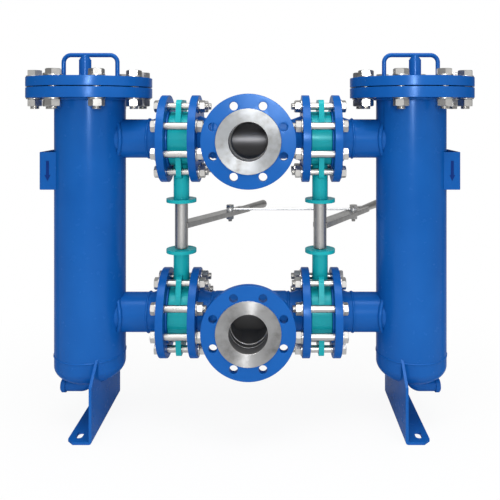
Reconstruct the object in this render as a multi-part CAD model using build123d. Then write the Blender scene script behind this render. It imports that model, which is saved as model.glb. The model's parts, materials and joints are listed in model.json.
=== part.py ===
from build123d import *
import os
from math import cos, radians, sin

# Duplex strainer: two basket vessels joined by an upper and a lower header, with four butterfly valves
# that one pair of linked levers turns together.
# Millimetres, +Z up, front along -Y. The origin is the centre of the inlet flange's bolting face, which
# stands behind the raised sealing face.

# Headers and vessels
header_spacing = 400.0        # upper header axis to lower header axis
front_reach = 144.0           # header axis to the front flanges' sealing faces
vessel_x = 370.0              # middle plane to each vessel axis
tee_reach = 87.0              # centre of a tee to its three ends
tee_body_r = 47.0             # forged tees are thicker than the pipe
tee_outlet_bore_r = 40.5
tee_crotch_r = 9.0

# Header pipe and its flanges
pipe_r = 44.45
pipe_bore_r = 41.25
flange_r = 100.0
flange_t = 20.0
raised_face_r = 69.0
raised_face_h = 3.0
hub_r = 52.5
neck_length = 50.0            # sealing face to the weld end
neck_land = 8.0               # straight end of the neck, at pipe size
flange_pitch_r = 80.0
flange_hole_r = 9.0
flange_hole_count = 8

# Valve clamping bolts
clamp_bolt_r = 8.0
clamp_hex_r = 13.9            # hexagon, across corners / 2
clamp_head_h = 10.0
clamp_nut_h = 13.0
clamp_end = 5.0               # bolt end that stands out of the nut

# Wafer butterfly valves
valve_length = 46.0           # face to face
valve_ring_r = 62.0
valve_ring_edge = 1.5
ear_r = 15.0                  # lug round each bolt beside the neck and opposite it
ear_t = 12.0
valve_bore_r = 46.0
seat_bore_r = 40.5
neck_r = 18.0
top_flange_r = 34.5
top_flange_t = 8.0
top_flange_z = 146.0          # header axis to the outer face of the top flange
top_hole_r = 3.5
top_hole_pitch_r = 25.0
disc_clearance = 0.3
disc_t = 9.0
disc_hub_r = 13.0
stem_r = 7.0
running_clearance = 0.05
free_clearance = 0.3
bush_wall = 2.0
bush_length = 24.0
stem_floor = 4.0              # ring's metal left under the stem's end

# Changeover linkage
tube_r = 15.0
tube_gap = 3.0                # coupling tube to the valve's top flange
stem_grip = 30.0              # stem inside the coupling tube
pin_r = 2.5
pin_inset = 12.0
pin_stand_out = 1.5
lever_w = 36.0
lever_t = 12.0
lever_reach = 280.0
lever_angle = 60.0            # from +X towards +Y
lever_corner = 12.0
lever_in_grip = 40.0          # lever's end inside the grip
grip_length = 130.0
grip_small_r = 8.0
grip_large_r = 11.0
link_inset = 80.0             # lever's end to the link bolt
link_bolt_r = 5.0
link_hex_r = 9.8
link_head_h = 7.0
link_nut_h = 8.0
link_washer_r = 10.0
link_washer_t = 2.0
link_tail = 6.0
rod_r = 3.0
rod_eye_r = 9.5
rod_eye_t = 5.0

# Vessel
shell_r = 79.5
shell_wall = 4.5
seam_z = -490.0               # weld between the shell and the dished end
end_straight = 23.0
end_depth = 42.0
body_flange_w = 60.5          # shell to the rim of the flange
body_flange_t = 23.0
body_flange_top = 116.0
body_bolt_inset = 20.0        # rim to the bolts' pitch circle
body_hole_r = 11.0
body_bolt_count = 8
shell_set_back = 6.0          # flange face to the end of the shell
gasket_t = 2.0
gasket_inset = 3.0            # bolt holes to the gasket
cover_t = 21.0
cover_bolt_r = 10.0
cover_hex_r = 17.3
cover_head_h = 12.5
cover_nut_h = 16.0
cover_bolt_end = 6.0

# Cover handle and vent
handle_bar_r = 5.0
handle_w = 134.0              # over the outside of the bar
handle_h = 58.5
handle_bend_r = 17.0
vent_r = 13.45
vent_bore_r = 10.0
vent_h = 40.0
vent_y = -40.0                # in front of the vessel axis
vent_plug_r = 9.5
vent_plug_collar_r = 11.5
vent_plug_h = 9.0
vent_plug_grip = 12.0

# Basket
basket_seat_z = -75.0         # top of the seat ring
basket_seat_t = 6.0
basket_seat_w = 14.0          # ring's width inside the shell
basket_rim_gap = 4.0          # rim to the shell
basket_rim_t = 5.0
basket_gap = 4.0              # basket to the seat ring
basket_wall = 2.0
basket_depth = 380.0
bail_bar_r = 3.0
bail_h = 120.0

# Drain
drain_r = 13.45
drain_bore_r = 10.5
drain_bend_r = 20.0
drain_drop = 14.0             # dished end's lowest point to the drain's axis
drain_reach = 55.0            # vessel axis to the elbow's end
drain_plug_r = 16.0
drain_plug_h = 11.0
drain_plug_edge = 3.0

# Feet
floor_z = -642.0
foot_plate_t = 6.0
foot_half_length = 120.0
foot_inset = 38.0             # vessel axis to the inner side of the upright plate
foot_w = 54.0
foot_corner = 14.0
foot_bend_r = 6.0
foot_edge_h = 120.0           # height of the upright plate at its ends
foot_shoulder_y = 66.0        # half length of the upright plate's top
foot_shoulder_z = -478.0
slot_w = 14.0
slot_length = 28.0
slot_from_end = 30.0          # end of the foot to the slot's centre
slot_inset = 21.0             # outer edge of the foot to the slots' centre line

# Nameplate bracket on the shell
bracket_stand_off = 20.5      # shell to the outer face of the bracket
bracket_half_w = 50.0
bracket_t = 3.0
bracket_h = 84.0
bracket_top = -28.0
bracket_bend_r = 5.0

# Worked out from the sizes above
header_y = front_reach - raised_face_h
lower_z = -header_spacing
side_face_x = tee_reach + neck_length
valve_x = side_face_x + valve_length / 2
outer_face_x = side_face_x + valve_length
branch_start_x = outer_face_x + neck_length
front_neck = front_reach - tee_reach
bottom_z = seam_z - end_straight - end_depth
drain_z = bottom_z - drain_drop
cover_z = body_flange_top + gasket_t
cover_top = cover_z + cover_t
link_z = lower_z / 2
tube_end = header_spacing / 2 - top_flange_z - tube_gap
disc_r = seat_bore_r - disc_clearance
bush_r = stem_r + running_clearance
stem_socket_z = stem_floor - valve_ring_r
neck_bore_r = bush_r + bush_wall
grip_start = lever_reach - lever_in_grip
link_reach = lever_reach - link_inset
body_flange_r = shell_r + body_flange_w
body_pitch_r = body_flange_r - body_bolt_inset
gasket_r = body_pitch_r - body_hole_r - gasket_inset
shell_bore_r = shell_r - shell_wall
basket_seat_bore_r = shell_bore_r - basket_seat_w
basket_rim_r = shell_bore_r - basket_rim_gap
basket_r = basket_seat_bore_r - basket_gap
foot_inner_x = vessel_x - foot_inset
bracket_reach = shell_r + bracket_stand_off
sides = {"left": -1, "right": 1}
low = (Align.CENTER, Align.CENTER, Align.MIN)
nodes = {}


def rod(radius, length, bottom=0.0):
    """Upright cylinder that starts at a height."""
    return Pos(0, 0, bottom) * Cylinder(radius, length, align=low)


def tube(outer, inner, length, bottom=0.0):
    return rod(outer, length, bottom) - rod(inner, length, bottom)


def turned(points):
    """Solid turned about Z from an outline of (radius, height) points."""
    outline = Polyline(*points, close=True)
    return revolve(Plane.XZ * make_face(outline), Axis.Z)


def hexagon(corner_r, height, bottom=0.0, hole_r=0.0):
    prism = Pos(0, 0, bottom) * extrude(RegularPolygon(corner_r, 6), height)
    if hole_r > 0:
        prism -= rod(hole_r, height, bottom)
    return prism


def along(point, direction):
    """Place that turns +Z into a direction, with +Z or +Y as the side direction."""
    side = (0, 0, 1) if direction[2] == 0 else (1, 0, 0)
    return Plane(origin=point, x_dir=side, z_dir=direction).location


def around(radius, count, shape, half_step=True):
    """Copies of a shape on a pitch circle; half_step keeps the axes clear."""
    first = 180 / count if half_step else 0
    return [Rot(0, 0, first + i * 360 / count) * Pos(radius, 0, 0) * shape for i in range(count)]


def merged(solids):
    """One node of separate solids."""
    return Compound(children=[piece for shape in solids for piece in shape.solids()])


def in_vessel(side, shape):
    return Pos(sides[side] * vessel_x, header_y, 0) * shape


# Header pipes and flanges
def weld_neck_flange(length):
    """Flange with its sealing face at zero and its neck along +Z."""
    body = turned([
        (pipe_bore_r, 0),
        (raised_face_r, 0),
        (raised_face_r, raised_face_h),
        (flange_r, raised_face_h),
        (flange_r, flange_t),
        (hub_r, flange_t),
        (pipe_r, neck_length - neck_land),
        (pipe_r, length),
        (pipe_bore_r, length),
    ])
    hole = rod(flange_hole_r, flange_t)
    return body - around(flange_pitch_r, flange_hole_count, hole)


def header_tee(height):
    """Forged tee: thickened run with tapered ends, and an outlet that swells into it."""
    taper = tee_reach - 3 * (tee_body_r - pipe_r)
    run = Rot(0, 90, 0) * turned([
        (0, -tee_reach),
        (pipe_r, -tee_reach),
        (tee_body_r, -taper),
        (tee_body_r, taper),
        (pipe_r, tee_reach),
        (0, tee_reach),
    ])
    outlet = along((0, 0, 0), (0, -1, 0)) * rod(pipe_r, tee_reach)
    body = run + outlet
    crotch = [edge for edge in body.edges() if edge.geom_type not in (GeomType.CIRCLE, GeomType.LINE)]
    body = fillet(crotch, tee_crotch_r)
    run_bore = Rot(0, 90, 0) * Cylinder(pipe_bore_r, 2 * tee_reach)
    outlet_bore = along((0, 0, 0), (0, -1, 0)) * rod(tee_outlet_bore_r, tee_reach)
    return Pos(0, header_y, height) * (body - run_bore - outlet_bore)


def side_flanges():
    flange = weld_neck_flange(neck_length)
    placed = []
    for height in (0, lower_z):
        for sign in sides.values():
            placed.append(along((sign * side_face_x, header_y, height), (-sign, 0, 0)) * flange)
            placed.append(along((sign * outer_face_x, header_y, height), (sign, 0, 0)) * flange)
    return merged(placed)


def front_flange(height):
    return along((0, -raised_face_h, height), (0, 1, 0)) * weld_neck_flange(front_neck)


def branch_pipes(side):
    """Pipes from the outer flanges, each cut to the round of the shell."""
    sign = sides[side]
    length = vessel_x - branch_start_x
    shell_core = in_vessel(side, Cylinder(shell_r, 4 * header_spacing))
    pipes = []
    for height in (0, lower_z):
        start = (sign * branch_start_x, header_y, height)
        pipes.append(along(start, (sign, 0, 0)) * tube(pipe_r, pipe_bore_r, length) - shell_core)
    return merged(pipes)


def clamp_bolts():
    """Long bolts over each valve, with their nuts run up."""
    span = valve_length + 2 * flange_t
    shank = rod(clamp_bolt_r, span + clamp_nut_h + clamp_end)
    head = hexagon(clamp_hex_r, clamp_head_h, -clamp_head_h)
    nut = hexagon(clamp_hex_r, clamp_nut_h, span)
    bolt = shank + head + nut
    placed = []
    for height in (0, lower_z):
        for sign in sides.values():
            start = (sign * (outer_face_x + flange_t), header_y, height)
            ring = around(flange_pitch_r, flange_hole_count, bolt)
            placed += [along(start, (-sign, 0, 0)) * one for one in ring]
    return merged(placed)


# Valves, built with the pipe along X and the neck along +Z
def valve_ears():
    """Middle plate of the body, drawn out to a lug round each bolt beside the stem."""
    step = radians(180 / flange_hole_count)
    y = flange_pitch_r * sin(step)
    z = flange_pitch_r * cos(step)
    lugs = [Pos(a * y, b * z) * Circle(ear_r) for a in (-1, 1) for b in (-1, 1)]
    core = Circle(valve_ring_r - valve_ring_edge)
    plate = make_hull([*core.edges(), *[edge for lug in lugs for edge in lug.edges()]])
    plate -= [Pos(a * y, b * z) * Circle(flange_hole_r) for a in (-1, 1) for b in (-1, 1)]
    return extrude(Plane.YZ * plate, ear_t / 2, both=True)


def valve_body():
    """Wafer body: ring with a plate of four bolt ears, round neck and top flange."""
    ring = chamfer(Cylinder(valve_ring_r, valve_length).edges(), valve_ring_edge)
    neck = rod(neck_r, top_flange_z - top_flange_t)
    top = rod(top_flange_r, top_flange_t, top_flange_z - top_flange_t)
    top_hole = rod(top_hole_r, top_flange_t, top_flange_z - top_flange_t)
    top -= around(top_hole_pitch_r, 4, top_hole)
    core = rod(neck_bore_r, top_flange_z - stem_socket_z, stem_socket_z)
    body = Rot(0, 90, 0) * ring + valve_ears() + neck + top - core
    return body - Rot(0, 90, 0) * Cylinder(valve_bore_r, valve_length)


def valve_seat():
    liner = Rot(0, 90, 0) * Cylinder(valve_bore_r, valve_length)
    liner -= Rot(0, 90, 0) * Cylinder(seat_bore_r, valve_length)
    return liner - Cylinder(stem_r + free_clearance, 4 * valve_bore_r)


def stem_bushes():
    """Upper bush at the top flange and lower bush in the ring's wall."""
    upper = tube(neck_bore_r, bush_r, bush_length, top_flange_z - bush_length)
    lower = tube(neck_bore_r, bush_r, -valve_bore_r - stem_socket_z, stem_socket_z)
    return [upper, lower]


def valve_disc():
    """Disc across the pipe, with a rounded sealing edge and a hub for the stem."""
    half = disc_t / 2
    edge_r = (disc_r ** 2 - half ** 2) ** 0.5
    outline = Polyline((0, -half), (edge_r, -half))
    rim = ThreePointArc((edge_r, -half), (disc_r, 0), (edge_r, half))
    back = Polyline((edge_r, half), (0, half), (0, -half))
    plate = Rot(0, 90, 0) * revolve(Plane.XZ * make_face(outline + rim + back), Axis.Z)
    hub = Cylinder(disc_hub_r, 4 * disc_r) & Sphere(disc_r)
    return plate + hub - Cylinder(stem_r, 4 * disc_r)


def valve_stem():
    bottom = stem_socket_z + free_clearance
    return rod(stem_r, top_flange_z + tube_gap + stem_grip - bottom, bottom)


def in_valves(side, shapes, turn=0.0):
    """Upper valve with its neck down and lower valve with its neck up."""
    x = sides[side] * valve_x
    upper = Pos(x, header_y, 0) * Rot(180, 0, 0) * Rot(0, 0, turn)
    lower = Pos(x, header_y, lower_z) * Rot(0, 0, turn)
    return [place * shape for place in (upper, lower) for shape in shapes]


# Changeover linkage, built about the stem axis at the lever's height
def in_linkage(side, shape):
    return Pos(sides[side] * valve_x, header_y, link_z) * shape


def coupling_tube():
    body = Cylinder(tube_r, 2 * tube_end) - Cylinder(stem_r, 2 * tube_end)
    return body + Cylinder(stem_r, 2 * (tube_end - stem_grip)) - pin_holes()


def coupling_pins():
    length = 2 * (tube_r + pin_stand_out)
    pin = Rot(90, 0, 0) * Cylinder(pin_r, length)
    return [Pos(0, 0, sign * (tube_end - pin_inset)) * pin for sign in (-1, 1)]


def pin_holes():
    return coupling_pins()


def lever():
    """Flat bar that is coped to the coupling tube, with its far corners cut."""
    bar = Pos(lever_reach / 2, 0, 0) * Box(lever_reach, lever_w, lever_t)
    far = bar.edges().filter_by(Axis.Z).group_by(Axis.X)[-1]
    bar = chamfer(far, lever_corner)
    bar -= Cylinder(tube_r, lever_t)
    return bar - Pos(link_reach, 0, 0) * Cylinder(link_bolt_r, lever_t)


def grip():
    """Tapered round grip, slotted over the end of the lever."""
    cone = Cone(grip_small_r, grip_large_r, grip_length, align=low)
    end = cone.edges().sort_by(Axis.Z)[-1]
    cone = Rot(0, 90, 0) * fillet(end, grip_large_r / 4)
    slot = Pos(lever_in_grip / 2, 0, 0) * Box(lever_in_grip, lever_w, lever_t)
    return Pos(grip_start, 0, 0) * (cone - slot)


def link_bolt():
    top = lever_t / 2 + rod_eye_t
    bottom = -lever_t / 2 - link_washer_t - link_nut_h - link_tail
    shank = rod(link_bolt_r, top - bottom, bottom)
    washer = rod(link_washer_r, link_washer_t, top)
    return shank + washer + hexagon(link_hex_r, link_head_h, top + link_washer_t)


def link_nut():
    washer = tube(link_washer_r, link_bolt_r, link_washer_t, -lever_t / 2 - link_washer_t)
    nut = hexagon(link_hex_r, link_nut_h, -lever_t / 2 - link_washer_t - link_nut_h, link_bolt_r)
    return washer + nut


def turned_lever(shape, reach=0.0):
    return Rot(0, 0, lever_angle) * Pos(reach, 0, 0) * shape


def link_rod():
    """Thin rod with a flat eye on each link bolt; the right eye runs free."""
    left_hole = Cylinder(link_bolt_r + running_clearance, rod_eye_t)
    right_hole = Cylinder(link_bolt_r + free_clearance, rod_eye_t)
    eye = Cylinder(rod_eye_r, rod_eye_t)
    length = 2 * valve_x
    shaft = Pos(length / 2, 0, 0) * Rot(0, 90, 0) * Cylinder(rod_r, length)
    shaft &= Pos(length / 2, 0, 0) * Box(length, 2 * rod_r, rod_eye_t)
    link = eye + Pos(length, 0, 0) * eye + shaft
    link = link - left_hole - Pos(length, 0, 0) * right_hole
    x = -valve_x + link_reach * cos(radians(lever_angle))
    y = header_y + link_reach * sin(radians(lever_angle))
    return Pos(x, y, link_z + lever_t / 2 + rod_eye_t / 2) * link


# Vessels, built about the vessel axis
def shell(side):
    top = body_flange_top - shell_set_back
    body = tube(shell_r, shell_bore_r, top - seam_z, seam_z)
    for height in (0, lower_z):
        start = (0, 0, height)
        body -= along(start, (-sides[side], 0, 0)) * rod(pipe_bore_r, 2 * shell_r)
    return in_vessel(side, body)


def dished_end():
    """Pipe cap: straight skirt and a flat-oval dish, open where the drain starts."""
    wall = shell_wall
    skirt_z = seam_z - end_straight

    def outline(radius, depth, top):
        dish = EllipticalCenterArc((0, skirt_z), radius, depth, start_angle=270, arc_size=90)
        lines = Polyline((radius, skirt_z), (radius, top), (0, top), (0, skirt_z - depth))
        return revolve(Plane.XZ * make_face(dish + lines), Axis.Z)

    cap = outline(shell_r, end_depth, seam_z) - outline(shell_r - wall, end_depth - wall, seam_z)
    return cap - rod(drain_bore_r, 2 * end_depth, bottom_z - end_depth)


def bolt_ring(shape):
    return around(body_pitch_r, body_bolt_count, shape)


def body_flange():
    bottom = body_flange_top - body_flange_t
    ring = tube(body_flange_r, shell_r, body_flange_t, bottom)
    return ring - bolt_ring(rod(body_hole_r, body_flange_t, bottom))


def cover_gasket():
    return tube(gasket_r, shell_r, gasket_t, body_flange_top)


def cover():
    plate = rod(body_flange_r, cover_t, cover_z)
    plate -= bolt_ring(rod(body_hole_r, cover_t, cover_z))
    return plate - Pos(0, vent_y, 0) * rod(vent_bore_r, cover_t, cover_z)


def cover_bolts():
    bottom = body_flange_top - body_flange_t - cover_nut_h - cover_bolt_end
    bolt = rod(cover_bolt_r, cover_top - bottom, bottom) + hexagon(cover_hex_r, cover_head_h, cover_top)
    return bolt_ring(bolt)


def cover_nuts():
    bottom = body_flange_top - body_flange_t - cover_nut_h
    return bolt_ring(hexagon(cover_hex_r, cover_nut_h, bottom, cover_bolt_r + free_clearance))


def bent_bar(width, height, bend_r, bar_r, bottom):
    """Round bar bent to a U, standing upside down, over its outside sizes."""
    half = width / 2 - bar_r
    top = bottom + height - bar_r
    path = FilletPolyline((-half, 0, bottom), (-half, 0, top), (half, 0, top), (half, 0, bottom), radius=bend_r)
    return sweep(Plane((-half, 0, bottom)) * Circle(bar_r), path=path)


def cover_handle():
    return bent_bar(handle_w, handle_h, handle_bend_r, handle_bar_r, cover_top)


def vent_stub():
    return Pos(0, vent_y, 0) * tube(vent_r, vent_bore_r, vent_h, cover_top)


def vent_plug():
    top = cover_top + vent_h
    stem = rod(vent_bore_r, vent_plug_grip, top - vent_plug_grip)
    collar = rod(vent_plug_collar_r, vent_plug_h / 3, top)
    crown = rod(vent_plug_r, vent_plug_h, top)
    return Pos(0, vent_y, 0) * (stem + collar + crown)


def basket_seat():
    bottom = basket_seat_z - basket_seat_t
    return tube(shell_bore_r, basket_seat_bore_r, basket_seat_t, bottom)


def basket_cage():
    """Sheet wall and floor under a rim that rests on the seat ring; its fine perforation is left out."""
    bottom = basket_seat_z - basket_depth
    cage = tube(basket_r, basket_r - basket_wall, basket_depth, bottom)
    cage += rod(basket_r, basket_wall, bottom)
    return cage + tube(basket_rim_r, basket_r - basket_wall, basket_rim_t, basket_seat_z)


def basket_bail():
    width = 2 * (basket_r + bail_bar_r)
    return bent_bar(width, bail_h, width / 3, bail_bar_r, basket_seat_z + basket_rim_t)


def drain_elbow(side):
    """Pipe from the dished end's hole, bent to point outwards."""
    sign = sides[side]
    top = bottom_z + end_depth / 2
    path = FilletPolyline((0, 0, top), (0, 0, drain_z), (sign * drain_reach, 0, drain_z), radius=drain_bend_r)
    start = Plane((0, 0, top))
    elbow = sweep(start * Circle(drain_r), path=path) - sweep(start * Circle(drain_bore_r), path=path)
    skirt_z = seam_z - end_straight
    dish = Pos(0, 0, skirt_z) * scale(Sphere(shell_r), by=(1, 1, end_depth / shell_r))
    return in_vessel(side, elbow - dish)


def drain_plug(side):
    """Threaded cap piece that closes the elbow's end."""
    sign = sides[side]
    inner = rod(drain_bore_r, drain_plug_h, -drain_plug_h)
    outer = rod(drain_plug_r, drain_plug_h)
    end = outer.edges().sort_by(Axis.Z)[-1]
    plug = inner + chamfer(end, drain_plug_edge)
    return in_vessel(side, along((sign * drain_reach, 0, drain_z), (sign, 0, 0)) * plug)


# Feet and brackets
def foot(side):
    """Bent plate: an upright web under the vessel and a slotted flange on the floor."""
    sign = sides[side]
    web_top = Polyline(
        (-foot_half_length, floor_z),
        (-foot_half_length, floor_z + foot_edge_h),
        (-foot_shoulder_y, foot_shoulder_z),
        (foot_shoulder_y, foot_shoulder_z),
        (foot_half_length, floor_z + foot_edge_h),
        (foot_half_length, floor_z),
        close=True,
    )
    web = extrude(Plane.YZ * make_face(web_top), foot_plate_t)
    flange = Pos(foot_w / 2, 0, floor_z) * Box(foot_w, 2 * foot_half_length, foot_plate_t, align=low)
    outer = flange.edges().filter_by(Axis.Z).group_by(Axis.X)[-1]
    flange = chamfer(outer, foot_corner)
    plate = web + flange
    heel = [edge for edge in plate.edges().filter_by(Axis.Y)
            if abs(edge.center().X) < 0.01 and abs(edge.center().Z - floor_z) < 0.01]
    plate = fillet(heel, foot_bend_r)
    slot = extrude(SlotOverall(slot_length, slot_w), foot_plate_t)
    slot_y = foot_half_length - slot_from_end
    for y in (-slot_y, slot_y):
        plate -= Pos(foot_w - slot_inset, y, floor_z) * Rot(0, 0, 90) * slot
    if sign < 0:
        plate = mirror(plate, about=Plane.YZ)
    plate = Pos(sign * foot_inner_x, header_y, 0) * plate
    return plate - vessel_envelope(side)


def vessel_envelope(side):
    """Outside of the shell, the dished end and the drain, which plates are cut to."""
    skirt_z = seam_z - end_straight
    body = rod(shell_r, body_flange_top - skirt_z, skirt_z)
    body += Pos(0, 0, skirt_z) * scale(Sphere(shell_r), by=(1, 1, end_depth / shell_r))
    return in_vessel(side, body)


def bracket(side):
    """U-shaped plate with its two arms cut to the shell."""
    outer = Rectangle(2 * bracket_reach, 2 * bracket_half_w)
    outer = fillet(outer.vertices(), bracket_bend_r)
    inner = Rectangle(2 * (bracket_reach - bracket_t), 2 * (bracket_half_w - bracket_t))
    inner = fillet(inner.vertices(), bracket_bend_r - bracket_t)
    loop = Pos(0, 0, bracket_top - bracket_h) * extrude(outer - inner, bracket_h)
    half = Pos(sides[side] * bracket_reach, 0, bracket_top - bracket_h / 2)
    loop &= half * Box(2 * bracket_reach, 4 * bracket_half_w, 2 * bracket_h)
    return in_vessel(side, loop) - vessel_envelope(side)


def add_headers():
    nodes["upper_tee"] = header_tee(0)
    nodes["lower_tee"] = header_tee(lower_z)
    nodes["inlet_flange"] = front_flange(0)
    nodes["outlet_flange"] = front_flange(lower_z)
    nodes["side_flanges"] = side_flanges()
    nodes["clamp_bolts"] = clamp_bolts()


def add_valves():
    seats = []
    bushes = []
    body = valve_body()
    for side in sides:
        upper, lower = in_valves(side, [body])
        nodes[side + "_upper_valve_body"] = upper
        nodes[side + "_lower_valve_body"] = lower
        seats += in_valves(side, [valve_seat()])
        bushes += in_valves(side, stem_bushes())
    nodes["valve_seats"] = merged(seats)
    nodes["stem_bushes"] = merged(bushes)


def add_linkage(side):
    open_turn = 90 if side == "left" else 0
    nodes[side + "_valve_discs"] = merged(in_valves(side, [valve_disc()], open_turn))
    nodes[side + "_valve_stems"] = merged(in_valves(side, [valve_stem() - stem_pin_hole()]))
    nodes[side + "_coupling_tube"] = in_linkage(side, coupling_tube())
    nodes[side + "_coupling_pins"] = in_linkage(side, merged(coupling_pins()))
    nodes[side + "_lever"] = in_linkage(side, turned_lever(lever()))
    nodes[side + "_lever_grip"] = in_linkage(side, turned_lever(grip()))
    nodes[side + "_link_bolt"] = in_linkage(side, turned_lever(link_bolt(), link_reach))
    nodes[side + "_link_nut"] = in_linkage(side, turned_lever(link_nut(), link_reach))


def stem_pin_hole():
    height = top_flange_z + tube_gap + pin_inset
    return Pos(0, 0, height) * Rot(90, 0, 0) * Cylinder(pin_r, 4 * stem_r)


def add_vessel(side):
    nodes[side + "_shell"] = shell(side)
    nodes[side + "_dished_end"] = in_vessel(side, dished_end())
    nodes[side + "_body_flange"] = in_vessel(side, body_flange())
    nodes[side + "_branch_pipes"] = branch_pipes(side)
    nodes[side + "_foot"] = foot(side)
    nodes[side + "_plate_bracket"] = bracket(side)
    nodes[side + "_cover"] = in_vessel(side, cover())
    nodes[side + "_cover_handle"] = in_vessel(side, cover_handle())
    nodes[side + "_cover_bolts"] = in_vessel(side, merged(cover_bolts()))
    nodes[side + "_vent_stub"] = in_vessel(side, vent_stub())
    nodes[side + "_vent_plug"] = in_vessel(side, vent_plug())
    nodes[side + "_basket_cage"] = in_vessel(side, basket_cage())
    nodes[side + "_basket_bail"] = in_vessel(side, basket_bail())


def add_shared():
    nodes["cover_gaskets"] = merged([in_vessel(side, cover_gasket()) for side in sides])
    nodes["basket_seats"] = merged([in_vessel(side, basket_seat()) for side in sides])
    nodes["drain_elbows"] = merged([drain_elbow(side) for side in sides])
    nodes["drain_plugs"] = merged([drain_plug(side) for side in sides])
    nodes["cover_nuts"] = merged([in_vessel(side, nut) for side in sides for nut in cover_nuts()])
    nodes["link_rod"] = link_rod()


add_headers()
add_valves()
for name in sides:
    add_linkage(name)
    add_vessel(name)
add_shared()

os.makedirs("parts", exist_ok=True)
for node, solid in nodes.items():
    export_step(solid, "parts/" + node + ".step")
print(len(nodes), "nodes")
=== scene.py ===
import json
import math
from functools import partial

import bmesh
import bpy
from mathutils import Matrix, Vector


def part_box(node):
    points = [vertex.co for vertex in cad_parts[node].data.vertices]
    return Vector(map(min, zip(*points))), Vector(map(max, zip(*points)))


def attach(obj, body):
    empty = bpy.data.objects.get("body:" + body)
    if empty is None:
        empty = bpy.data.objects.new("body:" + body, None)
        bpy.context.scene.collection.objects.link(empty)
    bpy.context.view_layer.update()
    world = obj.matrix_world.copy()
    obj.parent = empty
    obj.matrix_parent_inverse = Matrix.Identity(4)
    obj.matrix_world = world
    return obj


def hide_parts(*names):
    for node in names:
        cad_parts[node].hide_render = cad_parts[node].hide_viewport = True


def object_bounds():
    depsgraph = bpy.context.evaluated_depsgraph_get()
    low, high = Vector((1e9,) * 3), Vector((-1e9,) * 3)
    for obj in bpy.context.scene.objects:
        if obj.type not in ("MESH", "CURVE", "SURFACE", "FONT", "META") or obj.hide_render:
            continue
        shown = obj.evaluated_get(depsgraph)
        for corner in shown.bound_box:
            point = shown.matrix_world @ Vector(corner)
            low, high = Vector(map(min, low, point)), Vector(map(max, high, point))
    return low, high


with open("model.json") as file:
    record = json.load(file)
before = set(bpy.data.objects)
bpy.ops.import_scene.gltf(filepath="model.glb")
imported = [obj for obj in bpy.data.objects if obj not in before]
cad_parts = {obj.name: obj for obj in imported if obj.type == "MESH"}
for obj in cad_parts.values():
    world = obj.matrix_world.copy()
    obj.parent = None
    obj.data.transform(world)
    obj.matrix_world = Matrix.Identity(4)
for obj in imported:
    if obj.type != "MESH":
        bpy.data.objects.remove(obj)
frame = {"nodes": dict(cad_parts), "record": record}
cad_low, cad_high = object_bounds()
nodes = frame["nodes"]

# Photograph: a level camera whose frame is shifted to take in the whole strainer
IMAGE_SIZE = 500
CAMERA_PLACE = (0.0528, -1.259, 0.0667)
FOCAL_PIXELS = 606.0
SENSOR_WIDTH = 36.0
AXIS_PIXEL = (273.6, 109.6)
CLIP_END = 50

# Bare parts of the front flanges, in metres: the sealing face, the bore and the inside of the neck
FACE_R = 0.069
FACE_DEPTH = -0.0005
BORE_R = 0.0432
NECK_DEPTH = 0.001

# Places read from the frame
SIDES = {"left": -1, "right": 1}


def middle(node):
    low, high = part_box(node)
    return (low + high) / 2


def span(node):
    """Width, depth and height of a node."""
    low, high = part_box(node)
    return [top - bottom for bottom, top in zip(low, high)]


HEADER_Y = middle("left_shell").y
VESSEL_X = middle("right_shell").x
VALVE_X = middle("right_upper_valve_body").x
LOWER_Z = middle("outlet_flange").z
HEIGHTS = {"upper": 0.0, "lower": LOWER_Z}
SHELL_R = span("left_shell")[0] / 2
PIPE_R = (span("left_branch_pipes")[2] + LOWER_Z) / 2
SEAM_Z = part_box("left_dished_end")[1].z
FLANGE_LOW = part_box("left_body_flange")[0].z
COVER_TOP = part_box("left_cover")[1].z


# Materials
NOISE_ROUGHNESS = 0.55
NOISE_BAND = (0.3, 0.7)
CLOUD_BAND = (0.35, 0.7)
FACE_ON_GLOSS = 0.35
EDGE_ON_GLOSS = 0.01
TURNING_AWAY = (0.15, 0.55)
RING_PITCH = 0.0008


class NodeTree:
    """Short ways to add nodes to a shader tree and to link them."""

    def __init__(self, tree):
        self.tree = tree

    def add(self, kind, operation=None):
        node = self.tree.nodes.new("ShaderNode" + kind)
        if operation:
            node.operation = operation
        return node

    def link(self, source, target):
        self.tree.links.new(source, target)

    def feed(self, socket, value):
        """Gives a socket a number or a colour, or links it to another node's output."""
        if isinstance(value, tuple):
            socket.default_value = (*value, 1)
        elif isinstance(value, (int, float)):
            socket.default_value = value
        else:
            self.link(value, socket)

    def ramp(self, source, low, high, out_low=0.0, out_high=1.0):
        node = self.add("MapRange")
        limits = {"From Min": low, "From Max": high, "To Min": out_low, "To Max": out_high}
        for name, value in limits.items():
            node.inputs[name].default_value = value
        self.link(source, node.inputs["Value"])
        return node.outputs[0]

    def math(self, operation, a, b=0.0):
        node = self.add("Math", operation)
        for socket, value in zip(node.inputs, (a, b)):
            self.feed(socket, value)
        return node.outputs[0]

    def mix(self, factor, a, b):
        """Mix of two colours."""
        node = self.add("Mix")
        node.data_type = "RGBA"
        for index, value in zip((0, 6, 7), (factor, a, b)):
            self.feed(node.inputs[index], value)
        return node.outputs[2]

    def mix_value(self, factor, a, b):
        """Mix of two numbers."""
        node = self.add("Mix")
        for index, value in zip((0, 2, 3), (factor, a, b)):
            self.feed(node.inputs[index], value)
        return node.outputs[0]

    def length(self, vector):
        node = self.add("VectorMath", "LENGTH")
        self.link(vector, node.inputs[0])
        return node.outputs["Value"]


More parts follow.
